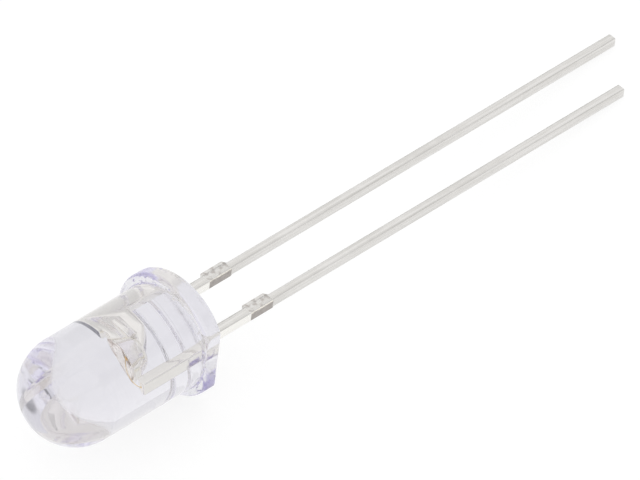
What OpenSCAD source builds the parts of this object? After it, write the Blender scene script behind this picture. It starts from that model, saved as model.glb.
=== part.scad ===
// Clear round light-emitting diode with two through-hole leads.
// It lies as it comes to rest: on the rim of its flange and the tips of both leads.
// The origin is the centre of the seating face, the flat underside of the flange.
// Each piece is drawn upright, with the dome along +Z and the cathode lead towards +X,
// and lying() then lays it down, with the dome towards -Y and the leads towards +Y.

/* [Lens] */
// Diameter of the straight barrel
lens_d = 4.95; // [4.7:0.05:5.2]
// Height from the seating face to the tip of the dome
lens_h = 8.6; // [8:0.1:9.4]
// Diameter of the flange
flange_d = 5.8; // [5.6:0.05:6.2]
// Thickness of the flange
flange_t = 0.9; // [0.7:0.05:1.2]
// Radius that rounds both edges of the flange
flange_round = 0.12; // [0.05:0.01:0.2]
// Radius of the fillet between the flange and the barrel
root_fillet = 0.1; // [0.05:0.01:0.15]
// How far the flat that marks the cathode stands out from the barrel
flat_step = 0.04; // [0.02:0.01:0.12]

/* [Leads] */
// Distance between the two leads, centre to centre
pitch = 2.54; // [2.4:0.02:2.7]
// Thickness of the sheet that the lead frame is stamped from
sheet_t = 0.45; // [0.35:0.01:0.55]
// Width of a lead from the seating face to the tie bar
root_w = 0.48; // [0.42:0.01:0.54]
// Width of a lead from the tie bar to its tip
lead_w = 0.4; // [0.32:0.01:0.5]
// Length of the cathode lead below the seating face
cathode_len = 25.4; // [15:0.1:28]
// How much longer the anode lead is
anode_extra = 2; // [0.5:0.1:4]
// Distance from the seating face to the cut stub of the tie bar
stub_start = 2.85; // [2:0.05:4]
// Length of the stub along the lead
stub_len = 1.27; // [0.8:0.01:1.6]
// How far the stub stands out from the root of its lead
stub_out = 0.16; // [0.05:0.01:0.3]
// Chamfer on the edges of the lead tips
tip_chamfer = 0.08; // [0.02:0.01:0.12]

/* [Reflector head] */
// Height of the reflector's rim above the seating face
rim_z = 3.95; // [3.6:0.05:4.4]
// Outer diameter of the rim
rim_d = 1.3; // [1.15:0.01:1.4]
// Thickness of the reflector's wall at the rim
rim_wall = 0.1; // [0.06:0.01:0.15]
// Depth of the reflector
cup_depth = 0.38; // [0.3:0.01:0.45]
// Diameter of the reflector's floor
cup_floor_d = 0.62; // [0.5:0.01:0.7]
// Radius of the rounded nose under the reflector
nose_r = 0.46; // [0.35:0.01:0.5]
// Flare of the reflector's outer wall, from the nose to the rim
flare = 14; // [8:1:20]
// Height of the foot of the head above the seating face
foot_z = 1.95; // [1.6:0.05:2.3]
// How far the foot reaches inwards from the lead
foot_reach = 0.55; // [0.3:0.01:0.7]
// How much the foot rises over that reach
foot_rise = 0.08; // [0:0.01:0.15]
// Height of the lip below the rim where the slanted edge ends
lip_h = 0.35; // [0.2:0.01:0.5]
// Width of the shoulder on the lead's side of the reflector
shoulder_w = 0.65; // [0.5:0.01:0.7]
// How far the shoulder stands above the rim
shoulder_rise = 0.04; // [0:0.01:0.2]
// Depth of the notch between the shoulder and the reflector, below the rim
notch_h = 0.2; // [0.1:0.01:0.3]
// Heights of the keying grooves above the foot, on both faces of the head
groove_z = [0.68, 1.15];
// Distance from the outer side of the head to the start of the grooves
groove_inset = 0.55; // [0.4:0.01:0.6]
// Length of a keying groove
groove_len = 0.62; // [0.4:0.01:0.7]
// Depth of a keying groove
groove_depth = 0.05; // [0.03:0.01:0.08]

/* [Post head] */
// Height of the top of the post above the seating face
post_z = 4.05; // [3.7:0.05:4.5]
// Width of the post's head
post_w = 0.52; // [0.5:0.01:0.7]
// Height of the straight part of the post's head
post_h = 1.4; // [1:0.05:1.6]
// Height of the slope from the head down to the lead
post_slope = 0.5; // [0.3:0.05:0.7]

/* [Die and wire] */
// Width of the square die
die_w = 0.3; // [0.2:0.01:0.36]
// Thickness of the die
die_h = 0.2; // [0.1:0.01:0.25]
// Thickness of the die-attach adhesive
glue_t = 0.02; // [0.01:0.005:0.03]
// How far the adhesive spreads beyond the die
glue_spread = 0.03; // [0.01:0.01:0.06]
// Diameter of the bond wire
wire_d = 0.025; // [0.02:0.005:0.05]
// Diameter of the ball bonded to the die
ball_d = 0.09; // [0.07:0.01:0.12]
// Height of the flattened ball
ball_h = 0.04; // [0.03:0.01:0.06]
// How far the wire's loop arches above a straight line between its ends
loop_rise = 0.3; // [0.2:0.01:0.45]
// Diameter of the stitch that ends the wire on the post
stitch_d = 0.08; // [0.06:0.01:0.12]
// Height of the stitch
stitch_h = 0.025; // [0.015:0.005:0.04]

/* [Hidden] */
$fn = 96;

lens_r = lens_d / 2;
flange_r = flange_d / 2;
barrel_top = lens_h - lens_r;
flat_x = lens_r + flat_step;
anode_len = cathode_len + anode_extra;
anode_x = -pitch / 2;
cathode_x = pitch / 2;
stub_end = stub_start + stub_len;

// Reflector head: its own edges, from the lead towards the axis
rim_r = rim_d / 2;
head_outer_x = anode_x - root_w / 2;
head_inner_x = anode_x + root_w / 2;
shoulder_x = head_outer_x + shoulder_w;
foot_x = head_inner_x + foot_reach;
cup_floor_z = rim_z - cup_depth;
cup_mouth_r = rim_r - rim_wall;
flare_r = nose_r * cos(flare);
nose_z = rim_z + nose_r * sin(flare) - (rim_r - flare_r) / tan(flare);
flare_z = nose_z - nose_r * sin(flare);
groove_x = head_outer_x + groove_inset + groove_len / 2;

// Post head: flush with the outer side of its lead, and widened towards the axis
post_outer_x = cathode_x + root_w / 2;
post_inner_x = post_outer_x - post_w;
post_foot_z = post_z - post_h - post_slope;

// Die, adhesive and wire, stacked on the floor of the reflector
die_z = cup_floor_z + glue_t;
die_top_z = die_z + die_h;
wire_r = wire_d / 2;
wire_foot = [0, die_top_z + ball_h / 2];
wire_end = [post_inner_x + post_w / 2, post_z + wire_r];
loop_chord = norm(wire_end - wire_foot);
loop_turn = atan2(wire_end[1] - wire_foot[1], wire_end[0] - wire_foot[0]);
loop_r = (loop_chord * loop_chord / 4 + loop_rise * loop_rise) / (2 * loop_rise);
loop_half = asin(loop_chord / 2 / loop_r);
loop_centre = (wire_foot + wire_end) / 2
    + (loop_r - loop_rise) * [sin(loop_turn), -cos(loop_turn)];
cut = 0.01;

// Sine of the resting slope. The flange's rounded lower edge and the lowest corner of each
// chamfered tip touch the floor together, and the unequal leads roll the part a little.
lead_step = anode_extra / pitch;
tip_arm = cathode_len - tip_chamfer + lead_step * (pitch + lead_w) / 2;
function rest_height(k) = (flange_r - flange_round) * sqrt(1 - k * k) + flange_round * (1 - k);
function tip_drop(k) = sheet_t / 2 * sqrt(1 - k * k * (1 + lead_step * lead_step));
function rest_sine(k, steps) =
    steps == 0 ? k : rest_sine((rest_height(k) - tip_drop(k)) / tip_arm, steps - 1);
rest_k = rest_sine(0.1, 12);
rest_slope = asin(rest_k);
rest_roll = -asin(lead_step * tan(rest_slope));

module lying() {
    rotate([90 - rest_slope, 0, 0]) rotate([0, 0, rest_roll]) children();
}

// A quarter-round corner cutter, to round an outer edge of a turned outline
module corner_cut(r) {
    difference() {
        square(r + cut);
        circle(r);
    }
}

module lens_outline() {
    difference() {
        union() {
            square([flange_r, flange_t]);
            square([lens_r, barrel_top]);
            translate([0, flange_t]) square([lens_r + root_fillet, root_fillet]);
            intersection() {
                translate([0, barrel_top]) circle(lens_r);
                translate([0, barrel_top - cut]) square([lens_r, lens_r + 2 * cut]);
            }
        }
        translate([lens_r + root_fillet, flange_t + root_fillet]) circle(root_fillet);
        translate([flange_r - flange_round, flange_t - flange_round]) corner_cut(flange_round);
        translate([flange_r - flange_round, flange_round]) mirror([0, 1]) corner_cut(flange_round);
    }
}

// Clear epoxy, cast in one piece around the lead frame, with the flat cut on the cathode side
module lens_body() {
    color("lavender", 0.35) lying() difference() {
        rotate_extrude() lens_outline();
        translate([flat_x, -flange_r, -cut])
            cube([flange_r, flange_d, flange_t + root_fillet + 2 * cut]);
        anode_solid();
        cathode_solid();
        glue_solid();
        die_solid();
        wire_solid();
    }
}

// Stamped outline of a lead below the head, from its root to its tip, with the tie bar's stub
module lead_outline(length, top_z) {
    translate([-root_w / 2, -stub_end]) square([root_w, stub_end + top_z]);
    translate([-lead_w / 2, -length]) square([lead_w, length - stub_end + cut]);
    translate([-root_w / 2 - stub_out, -stub_end]) square([root_w + stub_out, stub_len]);
}

// Stands a stamped outline up and gives it the thickness of the sheet
module stamped() {
    translate([0, sheet_t / 2, 0]) rotate([90, 0, 0]) linear_extrude(sheet_t) children();
}

// Outer wall of the reflector: a cone that runs tangent into a rounded nose
module bulge_outline() {
    polygon([[0, flare_z], [flare_r, flare_z], [rim_r, rim_z], [0, rim_z]]);
    intersection() {
        translate([0, nose_z]) circle(nose_r);
        translate([0, nose_z - nose_r]) square([nose_r, flare_z - nose_z + nose_r]);
    }
}

// Chamfers the four edges of a lead's tip
module tip_cut(x, length) {
    side = tip_chamfer * sqrt(2);
    across = lead_w + sheet_t;
    for (turn = [0:3])
        translate([x, 0, -length]) rotate([0, 0, 90 * turn])
            translate([(turn % 2 == 0 ? lead_w : sheet_t) / 2, 0, 0])
                rotate([0, 45, 0]) cube([side, across, side], center = true);
}

module anode_solid() {
    difference() {
        union() {
            stamped() translate([anode_x, 0]) lead_outline(anode_len, foot_z + cut);
            stamped() polygon([
                [head_outer_x, foot_z],
                [head_inner_x, foot_z],
                [foot_x, foot_z + foot_rise],
                [rim_r, rim_z - lip_h],
                [rim_r, rim_z],
                [-rim_r, rim_z],
                [-rim_r, rim_z - notch_h],
                [shoulder_x, rim_z - notch_h],
                [shoulder_x, rim_z + shoulder_rise],
                [head_outer_x, rim_z + shoulder_rise],
            ]);
            rotate_extrude() bulge_outline();
        }
        translate([0, 0, cup_floor_z])
            cylinder(h = cup_depth + cut, r1 = cup_floor_d / 2, r2 = cup_mouth_r);
        for (side = [-1, 1], z = groove_z)
            translate([groove_x, side * sheet_t / 2, foot_z + z]) rotate([45, 0, 0])
                cube([groove_len, groove_depth * sqrt(2), groove_depth * sqrt(2)], center = true);
        tip_cut(anode_x, anode_len);
    }
}

module anode_lead() {
    color("silver") lying() anode_solid();
}

module cathode_solid() {
    difference() {
        union() {
            stamped() translate([cathode_x, 0]) lead_outline(cathode_len, post_foot_z + cut);
            stamped() polygon([
                [cathode_x - root_w / 2, post_foot_z],
                [post_outer_x, post_foot_z],
                [post_outer_x, post_z],
                [post_inner_x, post_z],
                [post_inner_x, post_z - post_h],
            ]);
        }
        tip_cut(cathode_x, cathode_len);
    }
}

module cathode_lead() {
    color("silver") lying() cathode_solid();
}

module glue_solid() {
    side = die_w + 2 * glue_spread;
    translate([-side / 2, -side / 2, cup_floor_z]) cube([side, side, glue_t]);
}

module die_attach() {
    color("gray") lying() glue_solid();
}

module die_solid() {
    translate([-die_w / 2, -die_w / 2, die_z]) cube([die_w, die_w, die_h]);
}

module led_chip() {
    color("dimgray") lying() die_solid();
}

// Gold wire: a ball on the die, a low loop and a stitch on the post
module wire_solid() {
    translate([0, 0, die_top_z]) cylinder(h = ball_h, d = ball_d);
    translate([loop_centre[0], 0, loop_centre[1]])
        rotate([90, 0, 0]) rotate([0, 0, 90 + loop_turn - loop_half])
            rotate_extrude(angle = 2 * loop_half) translate([loop_r, 0]) circle(wire_r);
    translate([wire_end[0], 0, post_z]) cylinder(h = stitch_h, d = stitch_d);
}

module bond_wire() {
    color("gold") lying() wire_solid();
}

lens_body();
anode_lead();
cathode_lead();
die_attach();
led_chip();
bond_wire();
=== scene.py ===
import math

import bmesh
import bpy
from mathutils import Matrix, Vector


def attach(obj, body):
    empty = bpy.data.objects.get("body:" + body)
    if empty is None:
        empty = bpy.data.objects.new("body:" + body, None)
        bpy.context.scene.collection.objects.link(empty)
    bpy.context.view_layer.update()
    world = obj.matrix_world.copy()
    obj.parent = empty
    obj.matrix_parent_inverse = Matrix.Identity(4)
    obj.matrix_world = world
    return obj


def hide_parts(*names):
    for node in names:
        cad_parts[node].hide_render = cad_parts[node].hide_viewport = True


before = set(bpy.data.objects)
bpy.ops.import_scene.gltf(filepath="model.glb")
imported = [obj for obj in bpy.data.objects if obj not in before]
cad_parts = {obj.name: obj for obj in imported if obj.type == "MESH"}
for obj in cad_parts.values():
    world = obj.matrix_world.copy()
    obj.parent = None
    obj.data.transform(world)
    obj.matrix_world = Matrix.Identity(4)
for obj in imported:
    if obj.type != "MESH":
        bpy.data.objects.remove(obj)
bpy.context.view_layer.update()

# ---------------------------------------------------------------- lens body
# The body is clear epoxy with a faint violet tint, cast upside down in a polished cup around
# the lead frame. Dome, barrel and flange are one glassy skin. The seating face was the open
# top of the cup, so it is duller, and fine nicks mark the parting line in front of the flange.

MM = 0.001
BARREL_R = 2.475
LENS_H = 8.6
FLANGE_R = 2.9
FLANGE_T = 0.9
FLANGE_ROUND = 0.12
SKIN_ROUND = 0.23  # the flange's edges as cast, softer than the nominal round
ROOT_FILLET = 0.1
FLAT_STEP = 0.04
SHEET_T = 0.45
LEAD_W = 0.4
PITCH = 2.54
CATHODE_LEN = 25.4
ANODE_EXTRA = 2.0
TIP_CHAMFER = 0.08

# The part rests on the lower edge of its flange and on one corner of each tip.
lead_step = ANODE_EXTRA / PITCH
tip_arm = CATHODE_LEN - TIP_CHAMFER + lead_step * (PITCH + LEAD_W) / 2
slope_sine = 0.1
for _ in range(12):
    slope_cosine = math.sqrt(1 - slope_sine**2)
    rest_height = (FLANGE_R - FLANGE_ROUND) * slope_cosine + FLANGE_ROUND * (1 - slope_sine)
    tip_height = SHEET_T / 2 * math.sqrt(1 - slope_sine**2 * (1 + lead_step**2))
    slope_sine = (rest_height - tip_height) / tip_arm
slope = math.asin(slope_sine)
roll = -math.asin(lead_step * math.tan(slope))
LYING = Matrix.Rotation(math.pi / 2 - slope, 4, "X") @ Matrix.Rotation(roll, 4, "Z")


class Term:
    """A node's output that can be used in arithmetic. Each operation adds a Math node."""

    def __init__(self, tree, socket):
        self.tree = tree
        self.socket = socket

    def math(self, operation, *values):
        node = self.tree.nodes.new("ShaderNodeMath")
        node.operation = operation
        for socket, value in zip(node.inputs, values):
            feed(self.tree, socket, value)
        return Term(self.tree, node.outputs[0])

    def __add__(self, other):
        return self.math("ADD", self, other)

    def __radd__(self, other):
        return self.math("ADD", other, self)

    def __sub__(self, other):
        return self.math("SUBTRACT", self, other)

    def __rsub__(self, other):
        return self.math("SUBTRACT", other, self)

    def __mul__(self, other):
        return self.math("MULTIPLY", self, other)

    def __rmul__(self, other):
        return self.math("MULTIPLY", other, self)

    def __truediv__(self, other):
        return self.math("DIVIDE", self, other)

    def __neg__(self):
        return self.math("MULTIPLY", self, -1.0)

    def __pow__(self, other):
        return self.math("POWER", self, other)

    def __lt__(self, other):
        return self.math("LESS_THAN", self, other)

    def least(self, other):
        return self.math("MINIMUM", self, other)

    def most(self, other):
        return self.math("MAXIMUM", self, other)

    def cosine(self):
        return self.math("COSINE", self)

    def sine(self):
        return self.math("SINE", self)

    def rounded(self):
        return self.math("ROUND", self)

    def ramp(self, start, end):
        """0 at start and 1 at end, with an eased passage between."""
        node = self.tree.nodes.new("ShaderNodeMapRange")
        node.interpolation_type = "SMOOTHSTEP"
        feed(self.tree, node.inputs["Value"], self)
        feed(self.tree, node.inputs["From Min"], start)
        feed(self.tree, node.inputs["From Max"], end)
        return Term(self.tree, node.outputs[0])

    def band(self, low, high, soft):
        """1 between low and high, easing to 0 over soft outside them."""
        return self.ramp(low - soft, low) * (1 - self.ramp(high, high + soft))


def feed(tree, socket, value):
    """Links a term to an input, or writes a plain value in it."""
    if isinstance(value, Term):
        tree.links.new(value.socket, socket)
    elif value is not None:
        socket.default_value = value


class Graph:
    """A node tree that is filled one node at a time."""

    def __init__(self, tree):
        self.tree = tree

    def add(self, kind, settings=None, inputs=None, out=0):
        """Adds a node with its settings and the values or links of its inputs."""
        node = self.tree.nodes.new(kind)
        for name, value in (settings or {}).items():
            setattr(node, name, value)
        for name, value in (inputs or {}).items():
            feed(self.tree, node.inputs[name], value)
        return Term(self.tree, node.outputs[out])

    def blend(self, factor, first, second):
        """Mixes two colours."""
        return self.add("ShaderNodeMix", {"data_type": "RGBA"}, {0: factor, 6: first, 7: second}, 2)

    def along(self, direction):
        """Distance along one of the diode's own axes, in millimetres."""
        point = self.add("ShaderNodeTexCoord", out="Object")
        return self.dot(point, (LYING.to_3x3() @ Vector(direction)) / MM)

    def dot(self, vector, direction):
        values = {0: vector, 1: tuple(direction)}
        return self.add("ShaderNodeVectorMath", {"operation": "DOT_PRODUCT"}, values, "Value")

    def upright(self):
        """The point in the frame of the upright diode: across the leads, through the sheet, up."""
        return [self.along(axis) for axis in ((1, 0, 0), (0, 1, 0), (0, 0, 1))]

    def point(self, x, y, z):
        return self.add("ShaderNodeCombineXYZ", None, {"X": x, "Y": y, "Z": z})

    def noise(self, vector, scale, detail=2.0, rough=0.5):
        return self.add(
            "ShaderNodeTexNoise",
            None,
            {"Vector": vector, "Scale": scale, "Detail": detail, "Roughness": rough},
            "Fac",
        )

    def bump(self, height, distance, strength=1.0, normal=None):
        return self.add(
            "ShaderNodeBump",
            None,
            {"Strength": strength, "Distance": distance, "Height": height, "Normal": normal},
        )


def new_finish(name, **values):
    """A material with one Principled shader. Its uniform values are set on the shader."""
    material = bpy.data.materials.new(name)
    material.use_nodes = True
    tree = material.node_tree
    shader = tree.nodes["Principled BSDF"]
    for socket, value in values.items():
        shader.inputs[socket.replace("_", " ")].default_value = value
    return material, Graph(tree), shader


def clear_epoxy():
    """Glossy resin that is violet in depth, with a dull seat and a nicked parting line."""
    material, graph, shader = new_finish("clear_epoxy", Transmission_Weight=1.0, IOR=1.53)
    x, y, z = graph.upright()
    place = graph.point(x, y, z)
    reach = (x * x + y * y) ** 0.5
    seat = 1 - z.ramp(0.0, 0.03)
    near_root = z.band(FLANGE_T + 0.01, FLANGE_T + ROOT_FILLET + 0.03, 0.02)
    parting = near_root * reach.band(0.0, BARREL_R + ROOT_FILLET + 0.02, 0.03)
    haze = graph.noise(place, 1.4, 3.0)
    rough = 0.012 + 0.02 * haze.ramp(0.45, 0.75) + 0.08 * seat + 0.2 * parting
    feed(graph.tree, shader.inputs["Roughness"], rough)
    tint = graph.blend(haze, (0.80, 0.797, 0.82, 1), (0.82, 0.817, 0.84, 1))
    feed(graph.tree, shader.inputs["Base Color"], tint)
    waves = graph.bump(graph.noise(place, 0.55, 1.0), 0.02 * MM, 0.25)
    grain = graph.bump(graph.noise(place, 14.0, 3.0) * seat, 0.002 * MM, 0.5, waves)
    creep = seat * reach.ramp(2.0, 2.3)
    nicks = graph.noise(place, 1.7, 1.0).ramp(0.47, 0.62) * (parting + 0.35 * creep)
    feed(graph.tree, shader.inputs["Normal"], graph.bump(nicks, 0.06 * MM, 0.9, grain))
    in_depth = {"Color": (0.7, 0.645, 0.92, 1), "Density": 20.0}
    violet = graph.add("ShaderNodeVolumeAbsorption", None, in_depth)
    graph.tree.links.new(violet.socket, graph.tree.nodes["Material Output"].inputs["Volume"])
    return material


def grow(name, material, sizes, fill):
    """Runs a geometry tree on an empty mesh and returns the result as a plain piece."""
    tree = bpy.data.node_groups.new(name, "GeometryNodeTree")
    handles = {}
    for size, value in sizes.items():
        kind = "NodeSocketInt" if isinstance(value, int) else "NodeSocketFloat"
        handles[size] = tree.interface.new_socket(size, in_out="INPUT", socket_type=kind)
    tree.interface.new_socket("Geometry", in_out="OUTPUT", socket_type="NodeSocketGeometry")
    group_in = tree.nodes.new("NodeGroupInput")
    given = {size: Term(tree, group_in.outputs[size]) for size in sizes}
    graph = Graph(tree)
    shape = graph.add("GeometryNodeRealizeInstances", None, {"Geometry": fill(graph, given)})
    shape = graph.add("GeometryNodeSetMaterial", None, {"Geometry": shape, "Material": material})
    tree.links.new(shape.socket, tree.nodes.new("NodeGroupOutput").inputs[0])
    host = bpy.data.objects.new(name + "_host", bpy.data.meshes.new(name + "_host"))
    bpy.context.scene.collection.objects.link(host)
    modifier = host.modifiers.new(name, "NODES")
    modifier.node_group = tree
    for size, value in sizes.items():
        modifier[handles[size].identifier] = value
    bpy.context.view_layer.update()
    seen = host.evaluated_get(bpy.context.evaluated_depsgraph_get())
    mesh = bpy.data.meshes.new_from_object(seen)
    host.modifiers.remove(modifier)
    bpy.data.objects.remove(host)
    return lay_down(name, mesh, material)


def lay_down(name, mesh, material, sharp=35.0):
    """Lays an upright mesh down in the row frame and makes it a piece with outward faces."""
    mesh.transform(LYING)
    work = bmesh.new()
    work.from_mesh(mesh)
    bmesh.ops.remove_doubles(work, verts=work.verts, dist=1e-8)
    bmesh.ops.recalc_face_normals(work, faces=work.faces)
    work.to_mesh(mesh)
    work.free()
    mesh.name = name
    mesh.materials.clear()
    mesh.materials.append(material)
    mesh.shade_smooth()
    mesh.set_sharp_from_angle(angle=math.radians(sharp))
    piece = bpy.data.objects.new(name, mesh)
    bpy.context.scene.collection.objects.link(piece)
    return piece


def cast_body(graph, given):
    """Turns a half section with filleted corners about the axis and cuts the flat on it.

    Each corner is given by its radius, its height, its fillet and the steps of the fillet. Those
    without a fillet close the section on the axis, keep the flat to the rim or part two fillets.
    """
    barrel, height, flange = given["Barrel radius"], given["Height"], given["Flange radius"]
    thick, edge, root = given["Flange thickness"], given["Edge round"], given["Root fillet"]
    turns = given["Facets"]
    corners = [
        (0.0, 0.0, 0.0, 1),
        (flange * 0.85, 0.0, 0.0, 1),
        (flange, 0.0, edge, 8),
        (flange, thick, edge, 8),
        (barrel, thick, root, 8),
        (barrel, thick + 0.5 * MM, 0.0, 1),
        (barrel, height - barrel - 0.3 * MM, 0.0, 1),
        (barrel, height, barrel, 72),
        (0.0, height, 0.0, 1),
    ]
    index = graph.add("GeometryNodeInputIndex")
    count = len(corners)

    def switch(kind, values):
        node = graph.tree.nodes.new("GeometryNodeIndexSwitch")
        node.data_type = kind
        while len(node.index_switch_items) < count:
            node.index_switch_items.new()
        graph.tree.links.new(index.socket, node.inputs["Index"])
        for number, value in enumerate(values):
            feed(graph.tree, node.inputs[number + 1], value)
        return Term(graph.tree, node.outputs[0])

    places = switch("VECTOR", [graph.point(r, 0.0, z) for r, z, _, _ in corners])
    radii = switch("FLOAT", [radius for _, _, radius, _ in corners])
    steps = switch("INT", [step for _, _, _, step in corners])
    line = graph.add("GeometryNodeMeshLine", None, {"Count": count})
    line = graph.add("GeometryNodeSetPosition", None, {"Geometry": line, "Position": places})
    line = graph.add("GeometryNodeMeshToCurve", None, {"Mesh": line})
    section = graph.add(
        "GeometryNodeFilletCurve",
        {"mode": "POLY"},
        {"Curve": line, "Count": steps, "Radius": radii, "Limit Radius": True},
    )
    rows = graph.add(
        "GeometryNodeAttributeDomainSize",
        {"component": "CURVE"},
        {"Geometry": section},
        "Point Count",
    )
    sheet = graph.add(
        "GeometryNodeMeshGrid",
        None,
        {"Size X": 1.0, "Size Y": 1.0, "Vertices X": rows, "Vertices Y": turns + 1},
    )
    spot = graph.add("GeometryNodeInputPosition")
    across = graph.add("ShaderNodeSeparateXYZ", None, {"Vector": spot}, "X")
    around = graph.add("ShaderNodeSeparateXYZ", None, {"Vector": spot}, "Y")
    row = ((across + 0.5) * (rows - 1)).rounded()
    angle = (around + 0.5) * (2 * math.pi)
    sample = graph.add(
        "GeometryNodeSampleIndex",
        {"data_type": "FLOAT_VECTOR", "domain": "POINT"},
        {"Geometry": section, "Value": graph.add("GeometryNodeInputPosition"), "Index": row},
    )
    reach = graph.add("ShaderNodeSeparateXYZ", None, {"Vector": sample}, "X")
    level = graph.add("ShaderNodeSeparateXYZ", None, {"Vector": sample}, "Z")
    inset = (flange - reach).most(0.0) * (level < thick / 2)
    limit = given["Flat distance"] - inset
    side = reach * angle.cosine()
    in_flange = level < (thick + root + 0.001 * MM)
    flat_side = side.least(limit) * in_flange + side * (1 - in_flange)
    skin = graph.add(
        "GeometryNodeSetPosition",
        None,
        {"Geometry": sheet, "Position": graph.point(flat_side, reach * angle.sine(), level)},
    )
    return graph.add("GeometryNodeMergeByDistance", None, {"Geometry": skin, "Distance": 1e-7})


epoxy = clear_epoxy()
lens = grow(
    "lens_skin",
    epoxy,
    {
        "Barrel radius": BARREL_R * MM,
        "Height": LENS_H * MM,
        "Flange radius": FLANGE_R * MM,
        "Flange thickness": FLANGE_T * MM,
        "Edge round": SKIN_ROUND * MM,
        "Root fillet": ROOT_FILLET * MM,
        "Flat distance": (BARREL_R + FLAT_STEP) * MM,
        "Facets": 288,
    },
    cast_body,
)
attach(lens, "root")
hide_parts("lens_body")

# ---------------------------------------------------------------- anode lead
# The longer lead is stamped from steel sheet in one piece with the head, into whose top the
# reflector is coined. The frame is plated with silver, and its leads are tinned after the
# casting. The tie bar that joined the leads is sheared off last, which leaves a bare stub.

RIM_Z = 3.95
RIM_R = 0.65
RIM_WALL = 0.1
CUP_DEPTH = 0.38
CUP_FLOOR_R = 0.31
NOSE_R = 0.46
FLARE = math.radians(14)
FOOT_Z = 1.95
FOOT_REACH = 0.55
FOOT_RISE = 0.08
LIP_H = 0.35
SHOULDER_W = 0.65
SHOULDER_RISE = 0.04
NOTCH_H = 0.2
GROOVES = (0.68, 1.15)
GROOVE_INSET = 0.55
GROOVE_LEN = 0.62
GROOVE_DEPTH = 0.05
ROOT_W = 0.48
STUB_START = 2.85
STUB_LEN = 1.27
STUB_OUT = 0.16
STUB_SLANT = 0.02
STUB_RUNOUT = 0.12
STUB_R = 0.06
EDGE_ROLL = 0.05
NOSE_STEPS = 14
STUB_END = STUB_START + STUB_LEN
ANODE_LEN = CATHODE_LEN + ANODE_EXTRA


def eased(outline, steps=4):
    """Replaces each corner (x, z, radius) of a closed outline by a small arc."""
    points = []
    count = len(outline)
    for number, (x, z, radius) in enumerate(outline):
        here = Vector((x, z))
        before = Vector(outline[number - 1][:2]) - here
        after = Vector(outline[(number + 1) % count][:2]) - here
        if radius == 0:
            points.append(here)
            continue
        opening = before.angle(after)
        back = radius / math.tan(opening / 2)
        start = here + before.normalized() * back
        end = here + after.normalized() * back
        inwards = (before.normalized() + after.normalized()).normalized()
        middle = here + inwards * (radius / math.sin(opening / 2))
        first, last = start - middle, end - middle
        turn = math.atan2(first.x * last.y - first.y * last.x, first.dot(last))
        for step in range(steps + 1):
            points.append(middle + Matrix.Rotation(turn * step / steps, 2) @ first)
    return points


def shrunk(points, inset):
    """Moves each side of an anticlockwise outline inwards."""
    result = []
    count = len(points)
    for number, here in enumerate(points):
        before = (here - points[number - 1]).normalized()
        after = (points[(number + 1) % count] - here).normalized()
        one, two = Vector((-before.y, before.x)), Vector((-after.y, after.x))
        result.append(here + (one + two) * (inset / (1 + one.dot(two))))
    return result


def stamp(points, thickness, roll, steps=4):
    """Gives an outline the sheet's thickness, with its edges rolled over on both faces."""
    layers = []
    for step in range(steps + 1):
        angle = math.pi / 2 * step / steps
        face = thickness / 2 - roll * (1 - math.sin(angle))
        inset = roll * (1 - math.cos(angle))
        layers += [(-face, inset), (face, inset)]
    mesh = bmesh.new()
    rings = []
    for y, inset in sorted(layers):
        rings.append([mesh.verts.new((x * MM, y * MM, z * MM)) for x, z in shrunk(points, inset)])
    mesh.faces.new(list(reversed(rings[0])))
    mesh.faces.new(rings[-1])
    count = len(points)
    for low, high in zip(rings, rings[1:]):
        for number in range(count):
            other = (number + 1) % count
            mesh.faces.new((low[number], low[other], high[other], high[number]))
    bmesh.ops.recalc_face_normals(mesh, faces=mesh.faces)
    return mesh


def turned(section, steps=72):
    """Turns a half section of (radius, height) points, from axis to axis, about the axis."""
    mesh = bmesh.new()
    rings = []
    for radius, z in section:
        if radius < 1e-6:
            rings.append([mesh.verts.new((0, 0, z * MM))])
            continue
        ring = []
        for step in range(steps):
            angle = 2 * math.pi * step / steps
            x, y = radius * math.cos(angle), radius * math.sin(angle)
            ring.append(mesh.verts.new((x * MM, y * MM, z * MM)))
        rings.append(ring)
    for low, high in zip(rings, rings[1:]):
        for step in range(steps):
            other = (step + 1) % steps
            if len(low) == 1:
                mesh.faces.new((low[0], high[other], high[step]))
            elif len(high) == 1:
                mesh.faces.new((low[step], low[other], high[0]))
            else:
                mesh.faces.new((low[step], low[other], high[other], high[step]))
    bmesh.ops.recalc_face_normals(mesh, faces=mesh.faces)
    return mesh


def as_object(name, work):
    mesh = bpy.data.meshes.new(name)
    work.to_mesh(mesh)
    work.free()
    piece = bpy.data.objects.new(name, mesh)
    bpy.context.scene.collection.objects.link(piece)
    return piece


def worked(name, blank, additions=(), cuts=(), bevel=0.018):
    """Joins and cuts a blank, then breaks the edges that the tools leave."""
    body = as_object(name, blank)
    tools = []
    for operation, shapes in (("UNION", additions), ("DIFFERENCE", cuts)):
        for number, shape in enumerate(shapes):
            tool = as_object(f"{name}_{operation.lower()}_{number}", shape)
            step = body.modifiers.new(tool.name, "BOOLEAN")
            step.operation = operation
            step.solver = "EXACT"
            step.object = tool
            tools.append(tool)
    if tools:
        rounding = body.modifiers.new("edges", "BEVEL")
        rounding.width = bevel * MM
        rounding.segments = 2
        rounding.limit_method = "ANGLE"
        rounding.angle_limit = math.radians(38)
    smooth = body.modifiers.new("normals", "WEIGHTED_NORMAL")
    smooth.keep_sharp = True
    bpy.context.view_layer.update()
    seen = body.evaluated_get(bpy.context.evaluated_depsgraph_get())
    mesh = bpy.data.meshes.new_from_object(seen)
    for thing in [body] + tools:
        bpy.data.objects.remove(thing)
    return mesh


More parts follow.
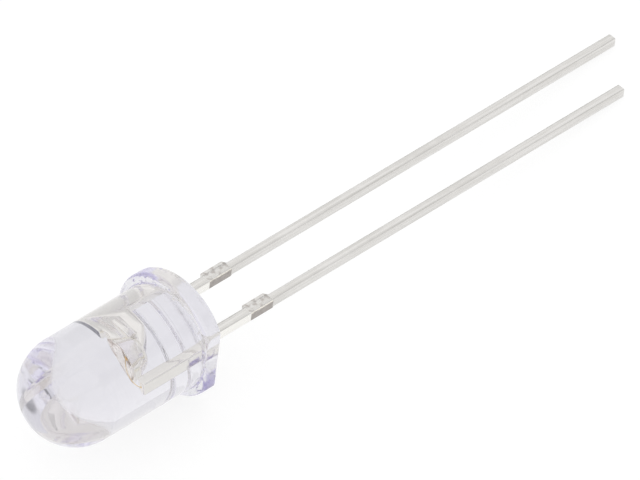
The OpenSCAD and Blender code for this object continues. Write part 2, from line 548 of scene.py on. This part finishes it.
def lead_sides(x, length):
    """The right-hand side of a lead, from its tip up to its head, and the left-hand side, down."""
    half, root = LEAD_W / 2, ROOT_W / 2
    narrow = -STUB_END - STUB_RUNOUT
    right = [(x + half, -length, 0.06), (x + half, narrow, 0), (x + root, -STUB_END, 0)]
    left = [
        (x - root, -STUB_START, 0.05),
        (x - root - STUB_OUT, -STUB_START, STUB_R),
        (x - root - STUB_OUT, -STUB_END + STUB_SLANT, STUB_R),
        (x - half, narrow, 0.05),
        (x - half, -length, 0.06),
    ]
    return right, left


def plated_steel(name, x, end_z=None):
    """Silver in the epoxy and drawn, mottled tin outside it, on the lead centred at x.

    The stub's sheared side is bare steel. The top end of a head cut off at end_z is darkened, partly as
    bare steel and mostly as a painted dark reflection.
    """
    material, graph, shader = new_finish(name, Metallic=1.0)
    from_axis, depth, up = graph.upright()
    across = from_axis - x
    place = graph.point(across, depth, up)
    edge = ROOT_W / 2
    open_air = 1 - up.ramp(-0.15, 0.1)
    in_stub = up.band(-STUB_END, -STUB_START, 0.04)

    # tin: lines along the lead, worn on the stub, and a painted highlight on the lit side near the flange
    drawn = graph.noise(graph.point(across * 8, depth * 8, up * 0.3), 1.0, 1.0)
    mottle = graph.noise(place, 2.5, 2.0)
    streaks = (0.75 * drawn + 0.25 * mottle).ramp(0.36, 0.64)
    tin = graph.blend(streaks, (0.69, 0.675, 0.65, 1), (0.78, 0.765, 0.745, 1))
    beaten = in_stub * graph.noise(place, 4.5, 2.0).ramp(0.45, 0.65)
    tin = graph.blend(beaten * 0.75, tin, (0.47, 0.435, 0.41, 1))
    # painted highlight: the lit side of the root, between stub and flange, is painted almost white
    painted_lit_side = up.band(-STUB_START + 0.05, 0.2, 0.05) * across.ramp(edge - 0.04, edge - 0.01)
    tin = graph.blend(painted_lit_side, tin, (0.93, 0.915, 0.88, 1))

    # silver inside the body, torn steel where the stub was sheared, and a painted cream highlight along the
    # stub's top edge
    silver = graph.blend(graph.noise(place, 1.6, 2.0), (0.91, 0.89, 0.82, 1), (0.96, 0.945, 0.885, 1))
    torn = graph.noise(graph.point(across * 2, depth * 8, up * 2), 1.6, 3.0, 0.6)
    bare = graph.blend(torn, (0.36, 0.335, 0.315, 1), (0.60, 0.565, 0.54, 1))
    sheared = in_stub * across.ramp(edge - 0.03, edge - 0.005)
    # painted highlight: a thin cream line along the top edge of the stub's sheared side
    painted_edge_highlight = in_stub * across.ramp(edge - 0.055, edge - 0.035)
    painted_edge_highlight = painted_edge_highlight * depth.ramp(SHEET_T / 2 - 0.05, SHEET_T / 2 - 0.03)
    colour = graph.blend(sheared, graph.blend(open_air, silver, tin), bare)
    colour = graph.blend(painted_edge_highlight * torn.ramp(0.3, 0.5), colour, (1.0, 0.97, 0.91, 1))
    rough = 0.09 + open_air * (0.09 + 0.12 * mottle + 0.08 * drawn) + 0.16 * beaten
    rough = rough + 0.25 * sheared + 0.3 * painted_edge_highlight
    arch = -(across * across).least(edge**2) * (0.25 + 0.75 * open_air)
    relief = graph.bump(arch, 0.8 * MM)
    relief = graph.bump(drawn * (0.04 + 0.96 * open_air), 0.003 * MM, 0.6, relief)

    # the head: a dark top end, partly bare steel and mostly painted dark reflection, and the warm, dented
    # inside and lip of the coined reflector, with painted glints
    if end_z is not None:
        # painted dark reflection: the head's top end is painted dark grey, darker than bare steel
        end = up.ramp(end_z - 0.03, end_z - 0.01)
        steel_and_painted_dark_reflection = graph.blend(torn, (0.20, 0.20, 0.23, 1), (0.36, 0.36, 0.39, 1))
        colour = graph.blend(end, colour, steel_and_painted_dark_reflection)
        rough = rough + 0.15 * end
        cup_floor = RIM_Z - CUP_DEPTH
        lean = (RIM_R - RIM_WALL - CUP_FLOOR_R) / CUP_DEPTH
        ring = (from_axis * from_axis + depth * depth) ** 0.5
        in_cup = up.ramp(cup_floor - 0.02, cup_floor)
        in_cup = in_cup * (ring < CUP_FLOOR_R + (up - cup_floor) * lean + 0.03)
        lip = up.ramp(RIM_Z - 0.02, RIM_Z - 0.005) * (ring < RIM_R) * (1 - end)
        coined = in_cup.most(lip)
        # painted glints: bright cream and dark brown spots in the coined cup and on its lip, over its warm
        # plating
        pressed = graph.noise(place, 3.6, 2.5, 0.6)
        warm_plating_and_painted_glints = graph.blend(pressed.ramp(0.38, 0.54), (0.66, 0.575, 0.51, 1), (0.98, 0.95, 0.88, 1))
        colour = graph.blend(coined, colour, warm_plating_and_painted_glints)
        relief = graph.bump(pressed * coined, 0.12 * MM, 0.9, relief)
    feed(graph.tree, shader.inputs["Base Color"], colour)
    feed(graph.tree, shader.inputs["Roughness"], rough)
    feed(graph.tree, shader.inputs["Normal"], graph.bump(torn * in_stub, 0.03 * MM, 0.8, relief))
    return material


half_root = ROOT_W / 2
anode_x = -PITCH / 2
head_outer = anode_x - half_root
head_inner = anode_x + half_root
shoulder_x = head_outer + SHOULDER_W
foot_x = head_inner + FOOT_REACH
right, left = lead_sides(anode_x, ANODE_LEN)
anode_outline = eased(
    right
    + [
        (head_inner, FOOT_Z, 0.05),
        (foot_x, FOOT_Z + FOOT_RISE, 0.08),
        (RIM_R, RIM_Z - LIP_H, 0.1),
        (RIM_R, RIM_Z, 0.055),
        (-RIM_R, RIM_Z, 0.055),
        (-RIM_R, RIM_Z - NOTCH_H, 0.05),
        (shoulder_x, RIM_Z - NOTCH_H, 0.05),
        (shoulder_x, RIM_Z + SHOULDER_RISE, 0.08),
        (head_outer, RIM_Z + SHOULDER_RISE, 0.06),
    ]
    + left
)
flare_r = NOSE_R * math.cos(FLARE)
nose_z = RIM_Z + NOSE_R * math.sin(FLARE) - (RIM_R - flare_r) / math.tan(FLARE)
nose = [(0, nose_z - NOSE_R)]
for step in range(1, NOSE_STEPS + 1):
    angle = -math.pi / 2 + (math.pi / 2 - FLARE) * step / NOSE_STEPS
    nose.append((NOSE_R * math.cos(angle), nose_z + NOSE_R * math.sin(angle)))
nose += [(RIM_R, RIM_Z), (0, RIM_Z)]
above_rim = RIM_Z + 0.2
mouth = [
    (0, RIM_Z - CUP_DEPTH),
    (CUP_FLOOR_R, RIM_Z - CUP_DEPTH),
    (RIM_R - RIM_WALL, RIM_Z),
    (RIM_R - RIM_WALL, above_rim),
    (0, above_rim),
]


def groove(x, side, z):
    """A V-shaped groove pressed across a face of the sheet."""
    cutter = bmesh.new()
    bmesh.ops.create_cube(cutter, size=1.0)
    size = GROOVE_DEPTH * math.sqrt(2) * MM
    bmesh.ops.scale(cutter, vec=(GROOVE_LEN * MM, size, size), verts=cutter.verts)
    quarter = Matrix.Rotation(math.pi / 4, 3, "X")
    bmesh.ops.rotate(cutter, cent=(0, 0, 0), matrix=quarter, verts=cutter.verts)
    place = (x * MM, side * SHEET_T / 2 * MM, z * MM)
    bmesh.ops.translate(cutter, vec=place, verts=cutter.verts)
    return cutter


groove_x = head_outer + GROOVE_INSET + GROOVE_LEN / 2
grooves = [groove(groove_x, side, FOOT_Z + z) for side in (-1, 1) for z in GROOVES]
blank = stamp(anode_outline, SHEET_T, EDGE_ROLL)
anode = lay_down(
    "anode_tinned",
    worked("anode", blank, additions=[turned(nose)], cuts=[turned(mouth)] + grooves),
    plated_steel("anode_plating", anode_x, RIM_Z + SHOULDER_RISE),
)
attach(anode, "root")
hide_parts("anode_lead")

# ---------------------------------------------------------------- cathode lead
# The shorter lead comes from the same strip of sheet steel, on the side of the flat, and is
# plated and tinned with it. It ends in a plain post inside the epoxy, whose top takes the
# far end of the bond wire.

POST_Z = 4.05
POST_W = 0.52
POST_H = 1.4
POST_SLOPE = 0.5
cathode_x = PITCH / 2
post_outer = cathode_x + half_root
post_inner = post_outer - POST_W
right, left = lead_sides(cathode_x, CATHODE_LEN)
cathode_outline = eased(
    right
    + [
        (post_outer, POST_Z, 0.07),
        (post_inner, POST_Z, 0.07),
        (post_inner, POST_Z - POST_H, 0),
        (cathode_x - half_root, POST_Z - POST_H - POST_SLOPE, 0),
    ]
    + left
)
cathode = lay_down(
    "cathode_tinned",
    worked("cathode", stamp(cathode_outline, SHEET_T, EDGE_ROLL)),
    plated_steel("cathode_plating", cathode_x),
)
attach(cathode, "root")
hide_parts("cathode_lead")

# ---------------------------------------------------------------- die and adhesive
# The die is a square of sawn crystal with a gold pad on top, held down on the floor of the
# reflector by a thin smear of silver-filled adhesive that spreads a little beyond it.

GLUE_T = 0.02
DIE_H = 0.2
PAD_R = 0.07
DIE_TOP = RIM_Z - CUP_DEPTH + GLUE_T + DIE_H


def crystal():
    """Sawn sides with fine level lines, and a round gold pad on the top."""
    material, graph, shader = new_finish("crystal", Roughness=0.2)
    x, y, z = graph.upright()
    reach = (x * x + y * y) ** 0.5
    pad = (1 - reach.ramp(PAD_R, PAD_R + 0.006)) * z.ramp(DIE_TOP - 0.025, DIE_TOP - 0.005)
    saw = graph.noise(graph.point(x * 4, y * 4, z * 40), 4.0, 2.0)
    body = graph.blend(saw, (0.42, 0.33, 0.27, 1), (0.68, 0.58, 0.48, 1))
    feed(graph.tree, shader.inputs["Base Color"], graph.blend(pad, body, (0.95, 0.72, 0.33, 1)))
    feed(graph.tree, shader.inputs["Metallic"], pad)
    feed(graph.tree, shader.inputs["Normal"], graph.bump(saw, 0.004 * MM, 0.6))
    return material


def silver_paste():
    """Silver flakes in a dull resin."""
    material, graph, shader = new_finish("silver_paste", Metallic=0.6)
    flakes = graph.noise(graph.point(*graph.upright()), 30.0, 4.0, 0.7)
    shade = graph.blend(flakes, (0.42, 0.41, 0.39, 1), (0.75, 0.74, 0.71, 1))
    feed(graph.tree, shader.inputs["Base Color"], shade)
    feed(graph.tree, shader.inputs["Roughness"], 0.35 + 0.3 * flakes)
    feed(graph.tree, shader.inputs["Normal"], graph.bump(flakes, 0.01 * MM, 0.8))
    return material


def dress(node, material):
    """Gives a node of the CAD model its finish."""
    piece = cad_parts[node]
    piece.data.materials.clear()
    piece.data.materials.append(material)


dress("led_chip", crystal())
dress("die_attach", silver_paste())

# ---------------------------------------------------------------- bond wire
# A gold wire finer than a hair runs from a ball on the die, over in a low loop, to a
# stitch on the top of the post. It is held only by the epoxy around it.

WIRE_D = 0.025
BALL_D = 0.09
BALL_H = 0.04
LOOP_RISE = 0.3
STITCH_D = 0.08
STITCH_H = 0.025


def gold():
    """Bright gold with the faint clouding that the drawing leaves."""
    material, graph, shader = new_finish("gold", Metallic=1.0)
    drawn = graph.noise(graph.point(*graph.upright()), 25.0, 2.0)
    shade = graph.blend(drawn, (0.93, 0.66, 0.27, 1), (1.0, 0.80, 0.42, 1))
    feed(graph.tree, shader.inputs["Base Color"], shade)
    feed(graph.tree, shader.inputs["Roughness"], 0.14 + 0.12 * drawn)
    return material


def drawn_wire(graph, given):
    """An arc through three points, swept by a circle, with a squashed ball at each end."""
    thick, rise, reach = given["Wire diameter"], given["Loop rise"], given["Span"]
    foot, far = given["Ball height"] / 2, given["Far height"] + thick / 2
    tall = far - foot
    chord = (reach * reach + tall * tall) ** 0.5
    start = graph.point(0.0, 0.0, foot)
    middle = graph.point(reach / 2 - rise * tall / chord, 0.0, (foot + far) / 2 + rise * reach / chord)
    ends = {"Resolution": 64, "Start": start, "Middle": middle, "End": graph.point(reach, 0.0, far)}
    arc = graph.add("GeometryNodeCurveArc", {"mode": "POINTS"}, ends)
    ring = graph.add("GeometryNodeCurvePrimitiveCircle", None, {"Resolution": 16, "Radius": thick / 2})
    swept = {"Curve": arc, "Profile Curve": ring, "Fill Caps": True}
    tube = graph.add("GeometryNodeCurveToMesh", None, swept)
    round_bond = {"Segments": 32, "Rings": 16, "Radius": 1.0}
    bond = graph.add("GeometryNodeMeshUVSphere", None, round_bond)

    def squashed(place, diameter, height):
        size = graph.point(diameter / 2, diameter / 2, height / 2)
        moved = {"Geometry": bond, "Translation": place, "Scale": size}
        return graph.add("GeometryNodeTransform", None, moved)

    ball = squashed(start, given["Ball diameter"], given["Ball height"])
    far_end = graph.point(reach, 0.0, given["Far height"] + given["Stitch height"] / 2)
    stitch = squashed(far_end, given["Stitch diameter"], given["Stitch height"])
    join = graph.tree.nodes.new("GeometryNodeJoinGeometry")
    for part in (stitch, ball, tube):
        graph.tree.links.new(part.socket, join.inputs["Geometry"])
    whole = Term(graph.tree, join.outputs[0])
    lifted = {"Geometry": whole, "Translation": graph.point(0.0, 0.0, given["Die top"])}
    return graph.add("GeometryNodeTransform", None, lifted)


wire = grow(
    "gold_wire",
    gold(),
    {
        "Wire diameter": WIRE_D * MM,
        "Loop rise": LOOP_RISE * MM,
        "Span": (post_inner + POST_W / 2) * MM,
        "Far height": (POST_Z - DIE_TOP) * MM,
        "Ball diameter": BALL_D * MM,
        "Ball height": BALL_H * MM,
        "Stitch diameter": STITCH_D * MM,
        "Stitch height": STITCH_H * MM,
        "Die top": DIE_TOP * MM,
    },
    drawn_wire,
)
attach(wire, "root")
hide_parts("bond_wire")

# ---------------------------------------------------------------- floor, light and camera
# The diode lies on a plain white sheet under one large, soft overhead light. Pale panels
# stand all round it. One of them is a little darker, and behind another there is a gap,
# which the resin and the leads show as a few grey edges.

FLOOR_HALF = 0.6
corners = [(-1, -1), (1, -1), (1, 1), (-1, 1)]
floor_z = -rest_height * MM
floor_mesh = bpy.data.meshes.new("floor")
floor_mesh.from_pydata([(x * FLOOR_HALF, y * FLOOR_HALF, floor_z) for x, y in corners], [], [(0, 1, 2, 3)])
floor = bpy.data.objects.new("floor", floor_mesh)
bpy.context.scene.collection.objects.link(floor)
paper, graph, shader = new_finish(
    "white_paper", Roughness=0.9, Base_Color=(0.2, 0.2, 0.2, 1), Emission_Strength=1.0
)
ray = graph.tree.nodes.new("ShaderNodeLightPath")
seen = Term(graph.tree, ray.outputs["Is Camera Ray"])
for kind in ("Is Glossy Ray", "Is Transmission Ray"):
    seen = seen.most(Term(graph.tree, ray.outputs[kind]))
white = graph.blend(seen, (0, 0, 0, 1), (0.81, 0.81, 0.81, 1))
feed(graph.tree, shader.inputs["Emission Color"], white)
floor_mesh.materials.append(paper)

# The directions in which the darker panel and the gap are seen from the diode.
DARKER_PANEL = (0.35, 0.65, 0.675)
GAP = (0.72, 0.5, 0.481)
world = bpy.data.worlds.new("studio")
bpy.context.scene.world = world
world.use_nodes = True
graph = Graph(world.node_tree)
facing = graph.add("ShaderNodeTexCoord", out="Generated")
height = graph.dot(facing, (0, 0, 1))
panels = 0.94 + 0.08 * height.ramp(0.1, 0.6)
panels = panels - 0.2 * graph.dot(facing, DARKER_PANEL).ramp(0.86, 0.95)
panels = panels - 0.5 * graph.dot(facing, GAP).ramp(0.965, 0.99)
ray = graph.tree.nodes.new("ShaderNodeLightPath")
background = graph.tree.nodes["Background"]
background.inputs["Color"].default_value = (1, 1, 1, 1)
feed(graph.tree, background.inputs["Strength"], panels.most(Term(graph.tree, ray.outputs["Is Camera Ray"])))

LAMP_SIDE = 1.6
LAMP_WATTS = 0.8
LAMP_PLACE = Vector((-0.2, -0.1, 0.9))
LAMP_AIM = Vector((0, 0.01, 0))
lamp = bpy.data.lights.new("overhead", "AREA")
lamp.shape = "SQUARE"
lamp.size = LAMP_SIDE
lamp.energy = LAMP_WATTS
holder = bpy.data.objects.new("overhead", lamp)
holder.location = LAMP_PLACE
holder.rotation_euler = (LAMP_AIM - LAMP_PLACE).to_track_quat("-Z", "Y").to_euler()
bpy.context.scene.collection.objects.link(holder)

# A long lens looks down on the dome and the flat. With a longer one, a camera that takes in the
# whole diode would stand further off than a hundred times its radius.
AZIMUTH, ELEVATION, TWIST = (math.radians(v) for v in (47.222, 43.375, -2.693))
DISTANCE = 0.9
LENS_MM = 1197.3
AIM_Z = 4.0
OFF_RIGHT, OFF_UP = 8.83 * MM, 5.388 * MM
level_reach = math.cos(ELEVATION)
back = Vector((math.sin(AZIMUTH) * level_reach, -math.cos(AZIMUTH) * level_reach, math.sin(ELEVATION)))
side = Vector((math.cos(AZIMUTH), math.sin(AZIMUTH), 0))
up = back.cross(side)
right_hand = side * math.cos(TWIST) + up * math.sin(TWIST)
top = up * math.cos(TWIST) - side * math.sin(TWIST)
aim = LYING @ Vector((0, 0, AIM_Z * MM))
stand = aim + back * DISTANCE + right_hand * OFF_RIGHT + top * OFF_UP
camera = bpy.data.cameras.new("camera")
camera.sensor_width = 36
camera.lens = LENS_MM
camera.clip_start = 0.05
camera.clip_end = 10
viewer = bpy.data.objects.new("camera", camera)
turn = Matrix((right_hand, top, back)).transposed()
viewer.matrix_world = Matrix.Translation(stand) @ turn.to_4x4()
bpy.context.scene.collection.objects.link(viewer)
bpy.context.scene.camera = viewer
bpy.context.scene.view_settings.view_transform = "Standard"

# Light is turned back many times inside the flange, so the clear body needs many bounces.
BOUNCES = 160
cycles = bpy.context.scene.cycles
cycles.max_bounces = BOUNCES
cycles.glossy_bounces = BOUNCES
cycles.transmission_bounces = BOUNCES
